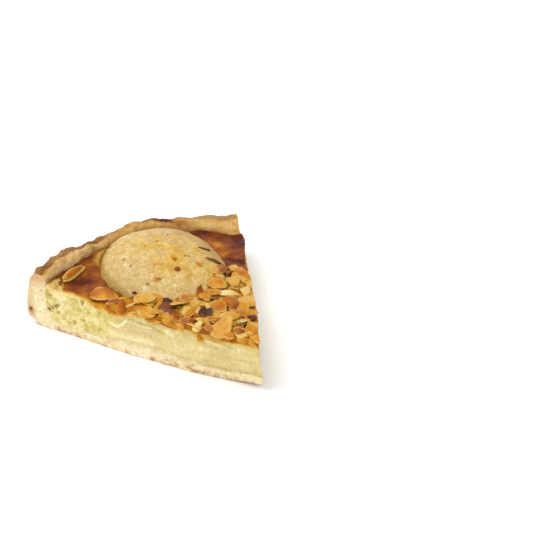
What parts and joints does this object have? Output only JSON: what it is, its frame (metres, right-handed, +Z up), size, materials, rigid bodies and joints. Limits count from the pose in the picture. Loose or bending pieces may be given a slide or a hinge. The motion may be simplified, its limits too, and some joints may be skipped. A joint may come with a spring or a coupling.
{
  "type": "slice of pear frangipane tart",
  "caption": "Wedge of pear tart: pastry case with a raised rim, almond filling, baked pear halves and a heap of toasted flaked almonds at the tip.",
  "frame": {"origin": "under the middle of the slice, on the surface it stands on", "axes": "+Y from the tip of the slice to the middle of its crust, +Z up, +X to the right seen from the tip"},
  "size_m": [0.128, 0.1326, 0.0361],
  "materials": {
    "crust": "dry, matte baked shortcrust pastry, browner on top of the rim, cream where it is cut",
    "frangipane": "moist crumb where it is cut, glossy dark brown where it is baked on top",
    "pear_half": "soft, slightly glossy baked fruit",
    "pear_cut": "smooth, moist cut fruit",
    "almond_bed": "thin toasted flakes, amber and translucent, with brown gaps"
  },
  "bodies": {
    "root": {"crust": "crust", "frangipane": "frangipane", "pear_half": "pear_half", "pear_cut": "pear_cut", "almond_bed": "almond_bed"}
  },
  "joints": []
}
